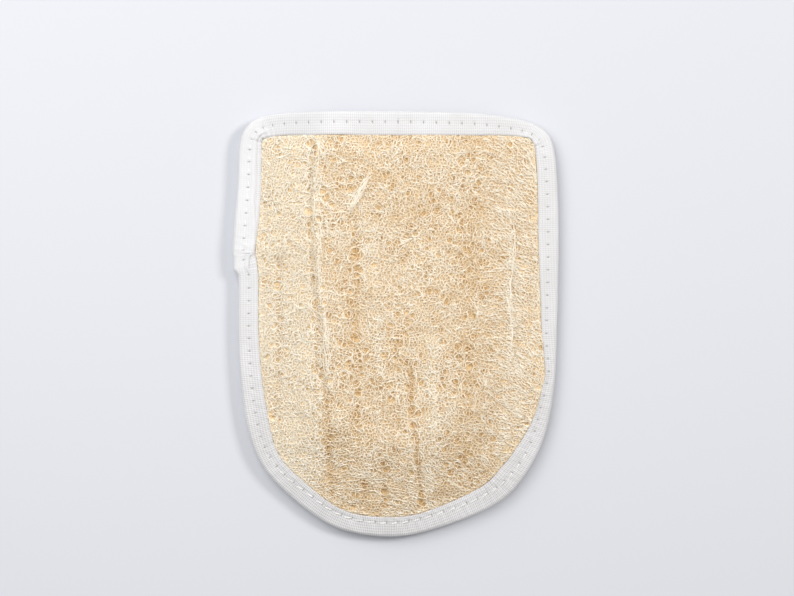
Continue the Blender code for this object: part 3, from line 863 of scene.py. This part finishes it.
def tape_material():
    """White cotton tape, woven open enough to leave a small gap where two ribs and two yarns
    meet. The gaps and the grooves between the ribs are painted darker, as painted shade, and the
    needle holes dark brown: partly the loofah seen through them, partly painted shade. The UV
    map holds millimetres: along the tape, and in from its selvedge. The noises are 17 mm wide
    clouds and a fuzz of 0.4 mm."""
    made, tree, shader = new_material("white woven cotton tape")
    uv = add(tree, "UVMap", {"uv_map": "UVMap"})
    place = add(tree, "SeparateXYZ", Vector=uv.outputs["UV"])

    def wave(socket, period, offset):
        """A cosine from 0 to 1 with the given period."""
        turned = add(tree, "Math", {"operation": "MULTIPLY_ADD", "_1": 2 * np.pi / period,
                                    "_2": offset}, _0=socket)
        cosine = add(tree, "Math", {"operation": "COSINE"}, _0=turned.outputs[0])
        half = add(tree, "Math", {"operation": "MULTIPLY_ADD", "_1": 0.5, "_2": 0.5},
                   _0=cosine.outputs[0])
        return half.outputs[0]

    between_ribs = wave(place.outputs["X"], RIB, np.pi)
    between_yarns = wave(place.outputs["Y"], YARN, 0.6)
    gap = add(tree, "Math", {"operation": "MULTIPLY"}, _0=between_ribs, _1=between_yarns)
    where = add(tree, "TexCoord").outputs["Object"]
    cloud = add(tree, "TexNoise", {"Scale": 60.0, "Detail": 2.0}, Vector=where)
    fuzz = add(tree, "TexNoise", {"Scale": 2500.0, "Detail": 2.0}, Vector=where)
    cloth = add(tree, "ValToRGB", {"stops": [(0.3, "#D5D5D6"), (0.7, "#DDDDDF")]},
                Fac=cloud.outputs["Fac"])
    # Painted shade in the grooves between the ribs and in the weave's gaps, scaled by the weave
    # attribute.
    dark = add(tree, "Math", {"operation": "MULTIPLY_ADD", "_1": 0.14, "_2": -0.03},
               _0=between_ribs)
    darker = add(tree, "Math", {"operation": "MULTIPLY_ADD", "use_clamp": True, "_1": 0.2},
                 _0=gap.outputs[0], _2=dark.outputs[0])
    weave = add(tree, "Attribute", {"attribute_name": "weave"})
    open_here = add(tree, "Math", {"operation": "MULTIPLY"},
                    _0=darker.outputs[0], _1=weave.outputs["Fac"])
    shade = add(tree, "Mix", {"data_type": "RGBA", "_7": linear("#9C9590")},
                _0=open_here.outputs[0], _6=cloth.outputs["Color"])
    # Dark brown at the needle holes: partly the loofah seen through them, partly painted shade in
    # the holes.
    hole = add(tree, "Attribute", {"attribute_name": "hole"})
    pierced = add(tree, "Mix", {"data_type": "RGBA", "_7": linear("#5A4E44")},
                  _0=hole.outputs["Fac"], _6=shade.outputs[2])
    sunk = add(tree, "Math", {"operation": "MULTIPLY_ADD", "_1": -2.0},
               _0=gap.outputs[0], _2=fuzz.outputs["Fac"])
    dress(tree, shader, pierced.outputs[2], sunk.outputs[0], 0.6, 0.0001)
    shader.inputs["Roughness"].default_value = 0.8
    shader.inputs["Sheen Weight"].default_value = 0.2
    return made


tape_finish = tape_material()

# %% Where the tape and its seam lie
TAPE, TAPE_HIGH = 0.7, 7.8
SEAM_INSET, SEAM_INSET_AT_TIP, TIP_FROM, TIP_RUN = 5.2, 7.0, -60.0, 30.0
CUFF_RAISE, CUFF_FROM, CUFF_RUN = 1.3, 86.5, 4.0
RIB_STEPS = 3
TIP_SLOPE = 0.9  # how far the tape's face falls from the seam to the fold, round the tip

_, _, tape_length = evenly_spaced(edge, 10)
RIBS, STITCHES = round(tape_length / RIB), round(tape_length / STITCH)
tape_at, tape_along, _ = evenly_spaced(edge, RIBS * RIB_STEPS)
tape_normal = inward(tape_at)
print(round(tape_length), "mm of tape,", RIBS, "ribs,", STITCHES, "stitches")


def seam_inset(at):
    """The stitch row's distance from the outer edge: further in round the tip."""
    tip = smooth_step((TIP_FROM - at[:, 1]) / TIP_RUN)
    row = SEAM_INSET + (SEAM_INSET_AT_TIP - SEAM_INSET) * tip
    return np.minimum(row, tape_reach(at) - 1.6)


def cuff_raise(at):
    """How far the lower half is drawn up where the tape holds the loofah alone."""
    return CUFF_RAISE * smooth_step((at[..., 1] - CUFF_FROM) / CUFF_RUN)


def on_left(at, start, end, soft):
    """1 beside the left edge between two heights in the plan, with soft ends."""
    inside = smooth_step((at[:, 1] - start) / soft) * smooth_step((end - at[:, 1]) / soft)
    return inside * (at[:, 0] < -40)


# %% The hairpin profile


def hairpin(reach, row, high, thick):
    """The profile round the fold for each place along the tape, from the upper selvedge over
    the fold to the lower one and back inside. Each row has the inset from the edge, the
    height, how much of the ribs shows there, and how far the cuff draws it up."""
    rim = np.minimum(2.0, row - 1.3)
    wide = reach - row
    one = np.ones_like(reach)
    outer = [
        (reach, high - 0.75, 0.4, 0), (reach - 0.1, high - 0.42, 1, 0),
        (row + 0.92 * wide, high - 0.16, 1, 0), (row + 0.78 * wide, high - 0.06, 1, 0),
        (row + 0.55 * wide, high - 0.1, 1, 0), (row + 0.33 * wide, high - 0.24, 1, 0),
        (row + 0.17 * wide, high - 0.36, 1, 0), (row + 0.06 * wide, high - 0.46, 1, 0),
        (row, high - 0.5, 1, 0),
        (row - 0.3, high - 0.49, 1, 0), (row - 0.65, high - 0.48, 1, 0),
        (row - 1.15, high - 0.48, 1, 0), (rim, high - 0.52, 0.95, 0),
        (0.72 * rim, high - 0.6, 0.9, 0), (0.42 * rim, high - 0.85, 0.8, 0),
        (0.17 * rim, high - 1.4, 0.6, 0.1), (0.03 * rim, high - 2.5, 0.5, 0.2),
        (0 * one, high * 0.45, 0.4, 0.4), (0.05 * rim, 2.2 * one, 0.4, 0.8),
        (0.22 * rim, 1.1 * one, 0.5, 1), (0.5 * rim, 0.42 * one, 0.7, 1),
        (rim, 0.12 * one, 0.9, 1), (row - 1.0, 0.2 * one, 1, 1), (row, 0.6 * one, 1, 1),
        (row + 0.25 * wide, 0.2 * one, 1, 1), (row + 0.8 * wide, 0.12 * one, 1, 1),
        (reach, 0.35 * one, 0.4, 1),
    ]
    inner = [
        (reach - 0.1, 0.35 + thick, 0, 1), (row, 0.6 + thick, 0, 1), (0.6 * rim, 1.8 * one, 0, 1),
        (thick, high * 0.45, 0, 0.5), (0.6 * rim, high - 2.3, 0, 0),
        (row, high - 0.7 - thick, 0, 0), (reach - 0.1, high - 0.5 - thick, 0, 0),
    ]
    return [np.stack([row[i] * one for row in outer + inner], axis=1) for i in range(4)]


def folded_tape(name, run, reach, high, thick, outset, low, rough, weave, closed):
    """The hairpin carried along the stations of a run. reach, high, thick, outset, low, rough
    and weave hold one number for each station: the flat width on the face, the height of the
    upper side, the cloth's thickness, how far the fold stands out past the edge, how far the
    lower side is lifted, the size of the wrinkles and how strong the weave's painted shade is."""
    at, along, normal = tape_at[run], tape_along[run], tape_normal[run]
    rib = np.cos(2 * np.pi * RIBS * along / tape_length)
    hole = 0.5 + 0.5 * np.cos(2 * np.pi * STITCHES * along / tape_length)
    sway = value_noise(np.stack([along, 0 * along], axis=1), 14.0, 41)
    reach = reach + 0.28 * rib + 0.2 * sway
    row = seam_inset(at)
    inset, height, ribbed, raised = hairpin(reach, row, high, thick)
    upper, outside = height > high[:, None] / 2, ribbed > 0
    near_row = np.exp(-(((inset - row[:, None]) / 1.0) ** 2)) * outside
    push = 0.07 * rib[:, None] * ribbed - 0.22 * (hole ** 12)[:, None] * near_row
    beside_row = np.exp(-(((inset - row[:, None] + 1.8) / 1.2) ** 2))
    push += 0.08 * ((hole - 0.5) * 2)[:, None] * beside_row
    height = height + np.where(upper, 1, -0.6) * push
    plan = at[:, None] + normal[:, None] * (inset - outset[:, None])[..., None]
    folds = np.sin((plan @ np.array([0.8, 1.7])) * 1.25 + 2 * value_noise(plan, 5.0, 43))
    wrinkles = 0.6 * folds + value_noise(plan, 2.5, 44)
    dents = 0.1 * value_noise(plan, 5.0, 42) + rough[:, None] * wrinkles
    height = height + np.where(upper & outside, dents * smooth_step(inset / 2.0), 0)
    tip = smooth_step((TIP_FROM - at[:, 1]) / TIP_RUN)
    sloped = TIP_SLOPE * tip[:, None] * np.clip(1 - inset / row[:, None], 0, 1)
    height = height - np.where(upper & outside, sloped, 0)
    height = height + np.where(upper, 0, low[:, None])
    z = np.maximum(height + arch(plan) + raised * cuff_raise(plan), 0.03)
    points = in_space(plan, z).reshape(-1, 3)
    steps = np.hypot(np.diff(inset, axis=1), np.diff(height, axis=1))
    across = np.concatenate([0 * row[:, None], np.cumsum(steps, axis=1)], axis=1)
    along_uv = np.broadcast_to((along * RIBS * RIB / tape_length)[:, None], across.shape)
    # needle marks the holes, which the tape's finish paints dark: partly loofah beneath, partly
    # painted shade.
    needle = (hole ** 70)[:, None] * np.exp(-(((inset - row[:, None]) / 0.55) ** 2)) * outside
    count, size = inset.shape
    index = np.arange(count * size).reshape(count, size)
    here, ahead = (index, np.roll(index, -1, axis=0)) if closed else (index[:-1], index[1:])
    faces = np.stack(
        [here, ahead, np.roll(ahead, -1, axis=1), np.roll(here, -1, axis=1)], axis=-1
    ).reshape(-1, 4)
    ends = [] if closed else [np.stack([index[0], index[-1, ::-1]])]
    return mesh_piece(name, points * MM, [faces, *ends], tape_finish,
                      {"hole": needle.ravel(), "weave": (ribbed * weave[:, None]).ravel()},
                      np.stack([along_uv, across], axis=-1).reshape(-1, 2))


# %% [markdown]
# The tape's ends meet on the left side, where one is lapped over the other. There the cloth
# is double, so it stands higher and prouder, its upper selvedge makes a crease beside the
# lower one, and its turned-under end is wrinkled.

# %% The tape, and its lap
# (place along the left side, how much of the lap shows there), from its end upward
LAP_SHOWS = [(20.0, 6.9), (25.0, 7.2), (28.9, 8.5), (33.3, 10.2), (37.6, 10.6), (47.0, 10.9),
             (58.7, 9.0), (80.0, 8.6), (96.0, 8.2)]
LAP_PROUD = 76.7

all_round = np.ones(len(tape_at))
lapped = on_left(tape_at, 24, 96, 5)
low_part = smooth_step((20 - tape_at[:, 1]) / 60)
# The weave's painted shade is strongest toward the tip, where light grazes the tape.
tape = folded_tape(
    "edge_tape", slice(None), reach=tape_reach(tape_at), high=TAPE_HIGH * all_round,
    thick=TAPE * all_round, outset=0 * all_round, low=0.45 * lapped, rough=0.1 * low_part,
    weave=1.25 + 1.1 * low_part, closed=True,
)
on_lap = np.flatnonzero((tape_at[:, 0] < -57) & (tape_at[:, 1] > 22))
lap_run = slice(on_lap[0], on_lap[-1] + 1)
lap_at = tape_at[lap_run]
all_lap = np.ones(len(lap_at))
from_end = smooth_step((lap_at[:, 1] - 22.0) / 5.0)
from_start = smooth_step((tape_along[lap_run] - tape_along[lap_run][0]) / 15.0)
lump = np.exp(-(((lap_at[:, 1] - 36.0) / 7.0) ** 2))
lap_reach = np.interp(lap_at[:, 1], *np.transpose(LAP_SHOWS))
held = smooth_step((48.0 - lap_at[:, 1]) / 8.0)
proud = (0.45 + held * np.clip(LAP_PROUD + lap_at[:, 0] - 0.45, 0, 1.5)) * from_start * from_end
# The lap's weave gets little painted shade.
lap = folded_tape(
    "tape_lap", lap_run, reach=lap_reach,
    high=TAPE_HIGH - 0.3 + 0.6 * from_start * from_end + 0.3 * lump,
    thick=0.45 * all_lap, outset=proud, low=0 * all_lap, rough=0.12 * lump,
    weave=0.3 * all_lap, closed=False,
)

# %% [markdown]
# ## Threads
# A lockstitch shows on both sides. Each stitch comes up out of one hole, lies on the tape for
# half of its length and sinks between the ribs before the next hole.

# %% Stitches


def thread_material():
    """Bleached cotton sewing thread: two plies whose twist shows as a slanted bump, one turn
    in 0.9 mm, with painted shade in the grooves between the plies."""
    made, tree, shader = new_material("white cotton sewing thread")
    where = add(tree, "TexCoord").outputs["Object"]
    twist = add(tree, "TexWave", {"Scale": 420.0, "Distortion": 1.0, "bands_direction": "DIAGONAL"},
                Vector=where)
    # Painted shade: the twist's grooves are darker.
    colour = add(tree, "ValToRGB", {"stops": [(0.0, "#DDDBD6"), (1.0, "#F6F5F3")]},
                 Fac=twist.outputs["Fac"])
    dress(tree, shader, colour.outputs["Color"], twist.outputs["Fac"], 0.4, 0.00006)
    shader.inputs["Roughness"].default_value = 0.6
    shader.inputs["Sheen Weight"].default_value = 0.2
    return made


thread_finish = thread_material()
# one stitch: (place before its hole, height over the tape)
STITCH_RISE = np.array([(-5.2, -0.5), (-3.7, -0.3), (-3.0, -0.1), (-2.4, 0.06), (-1.8, 0.13),
                        (-1.2, 0.13), (-0.7, 0.06), (-0.35, -0.14), (-0.1, -0.6)])


def seam_stitches(name, below):
    """The stitches of one side: each follows the same rise and fall along the seam."""
    hole_at = np.arange(STITCHES) * tape_length / STITCHES
    along = (hole_at[:, None] + STITCH_RISE[:, 0]) % tape_length
    all_along = np.r_[tape_along, tape_length]
    plan, side = (place_on(np.vstack([values, values[:1]]), all_along, along)
                  for values in (tape_at, tape_normal))
    row = seam_inset(plan.reshape(-1, 2)).reshape(along.shape)
    slant = 0.16 * STITCH_RISE[:, 0] * (STITCH_RISE[:, 0] > -4)
    plan = plan + side * (row + slant)[..., None]
    if below:
        z = 0.5 - 0.8 * STITCH_RISE[:, 1] + cuff_raise(plan) + arch(plan)
    else:
        lifted = on_left(plan.reshape(-1, 2), 24, 94, 5).reshape(along.shape)
        loose = 0.5 * smooth_step((-50 - plan[..., 1]) / 25) - 0.5
        z = TAPE_HIGH - 0.5 + STITCH_RISE[:, 1] + 0.6 * lifted + arch(plan) + loose
    paths = in_space(plan, np.maximum(z, 0.3))
    radii = np.full(along.shape, 0.25)
    return tube_piece(name, paths, radii, 6, np.ones(along.shape), thread_finish)


stitches_over = seam_stitches("needle_stitches", below=False)
stitches_under = seam_stitches("bobbin_stitches", below=True)

# %% [markdown]
# ## Terry back
# Terry is a flat weave with loops of pile on both sides. The ground weave is one closed sheet,
# and the pile is thousands of small loops that stand on it. The back lies flat on the table,
# its sides rise into the seam, and its cuff edge is folded into a hem, which has no pile.

# %% Terry finish


def terry_material(name, bumpy):
    """White cotton terry. The pile has its own geometry, and the bump is the yarns' fuzz,
    1.25 mm wide."""
    made, tree, shader = new_material(name)
    where = add(tree, "TexCoord").outputs["Object"]
    yarns = add(tree, "TexVoronoi", {"Scale": 800.0}, Vector=where)
    cloud = add(tree, "TexNoise", {"Scale": 30.0, "Detail": 3.0}, Vector=where)
    colour = add(tree, "ValToRGB", {"stops": [(0.3, "#DEDCD8"), (0.7, "#E9E8E5")]},
                 Fac=cloud.outputs["Fac"])
    dress(tree, shader, colour.outputs["Color"], yarns.outputs["Distance"], bumpy, 0.0004)
    shader.inputs["Roughness"].default_value = 0.9
    shader.inputs["Sheen Weight"].default_value = 0.3
    return made


ground_finish = terry_material("white terry ground weave", 0.6)
pile_finish = terry_material("white terry pile", 0.25)

# %% The ground weave
TERRY_FROM, TERRY_TO, TERRY_LOW, TERRY_HIGH = 11.5, 14.5, 1.0, 2.0
SEAM_LOW, SEAM_HIGH = 2.1, 3.1  # the back's two sides where the tape holds it
HEM_WIDTH, HEM_DROP, HEM_EXTRA = 11.0, 0.8, 1.6


def terry_rise(at):
    """0 where the back is held in the seam, 1 where it lies flat."""
    return smooth_step((read(seam_chart, at) - TERRY_FROM) / (TERRY_TO - TERRY_FROM))


def hem(at):
    """1 on the hem's folded band along the cuff edge."""
    return smooth_step((at[:, 1] - HEM_EDGE + HEM_WIDTH) / 1.0)


def terry_bottom(at):
    """The underside of the ground weave: the hem has no pile, so it lies on the table."""
    return SEAM_LOW + (TERRY_LOW - SEAM_LOW - HEM_DROP * hem(at)) * terry_rise(at)


def terry_top(at):
    """The upper side of the ground weave, with the hem's second and third thickness."""
    inner = smooth_step((read(seam_chart, at) - TERRY_TO) / 6.0)
    return SEAM_HIGH + (TERRY_HIGH - SEAM_HIGH) * terry_rise(at) + HEM_EXTRA * hem(at) * inner


terry_border, _, _ = evenly_spaced(edge, 400)
terry_border = terry_border + inward(terry_border) * RIM_INSET
terry_border = terry_border[terry_border[:, 1] < HEM_EDGE - 0.3]
strides = np.diff(terry_border, axis=0, append=terry_border[:1])
cuff_gap = np.argmax(np.linalg.norm(strides, axis=1))
terry_border = np.roll(terry_border, -cuff_gap - 1, axis=0)
cuff_x = np.linspace(terry_border[-1, 0], terry_border[0, 0], 60)[1:-1]
cuff_line = np.column_stack([cuff_x, np.full(len(cuff_x), HEM_EDGE)])
terry_border = np.vstack([terry_border, cuff_line])
terry = slab("terry_ground", terry_border, (3.0, 3.0), terry_top, terry_bottom, ground_finish,
             lambda at: np.ones(len(at)), 51)

# %% The pile
LOOP_PITCH, LOOP_PITCH_INSIDE = 1.95, 2.3
SEEN_FROM = 18  # the mouth shows the pile inside from here on


def pile_loops(name, pitch, up, seed):
    """Loops on one side of the ground weave: out, over and back, each leaning its own way."""
    draw = np.random.default_rng(seed)
    at = scattered(pitch, 0.3, 0.0, seed)
    at = at[(at[:, 1] < HEM_EDGE - HEM_WIDTH - 1.2) & (terry_rise(at) > 0.9)]
    if up:
        at = at[at[:, 1] > SEEN_FROM]
    angle = draw.uniform(0, 2 * np.pi, (len(at), 1))
    wide, lean = draw.uniform(0.35, 0.6, (len(at), 1)), draw.normal(0, 0.25, (len(at), 2))
    out = np.array([-1.0, -0.75, 0.75, 1.0]) * wide
    plan = at[:, None] + np.stack([np.cos(angle) * out, np.sin(angle) * out], axis=-1)
    plan[:, 1:3] += lean[:, None]
    rise = np.array([-0.1, 0.72, 0.72, -0.1]) * draw.uniform(0.9, 1.1, (len(at), 1))
    z = terry_top(at)[:, None] + rise if up else terry_bottom(at)[:, None] - rise
    return tube_piece(name, in_space(plan, z), np.full(z.shape, 0.2), 3, np.ones(z.shape),
                      pile_finish)


pile_below = pile_loops("terry_pile_below", LOOP_PITCH, False, 52)
pile_inside = pile_loops("terry_pile_inside", LOOP_PITCH_INSIDE, True, 53)

# %% [markdown]
# ## Hem thread
# The hem's row of stitches runs straight across, inside the pocket.

# %% Hem stitches
hem_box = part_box("hem_thread")
hem_y = (hem_box[0][1] + hem_box[1][1]) / 2 / MM
hem_x = np.arange(hem_box[0][0] / MM, hem_box[1][0] / MM - 3.0, 3.1)
hem_plan = np.stack([hem_x[:, None] + np.array([0.0, 0.25, 0.9, 1.8, 2.6, 2.95]),
                     np.full((len(hem_x), 6), hem_y)], axis=-1)
hem_z = terry_top(hem_plan[:, 0])[:, None] + np.array([-0.4, 0.12, 0.24, 0.24, 0.12, -0.4])
hem_stitches = tube_piece(
    "hem_stitches", in_space(hem_plan, hem_z), np.full(hem_z.shape, 0.26), 6,
    np.ones(hem_z.shape), thread_finish,
)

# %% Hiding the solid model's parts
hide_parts("loofah_panel")
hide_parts("edge_binding")
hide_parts("terry_back")
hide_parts("needle_thread")
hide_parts("bobbin_thread")
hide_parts("hem_thread")

# %% [markdown]
# The two cloths were cut to these sizes: the tape 28 mm wide and as long as the edge, and the
# back to the outline below the hem. Half of each piece's surface is printed.


# %% Cloth sizes
def surface(piece):
    """The piece's surface in square metres."""
    areas = np.empty(len(piece.data.polygons))
    piece.data.polygons.foreach_get("area", areas)
    return float(areas.sum())


print("half surfaces in square metres:", [round(surface(p) / 2, 4) for p in (tape, lap, terry)])
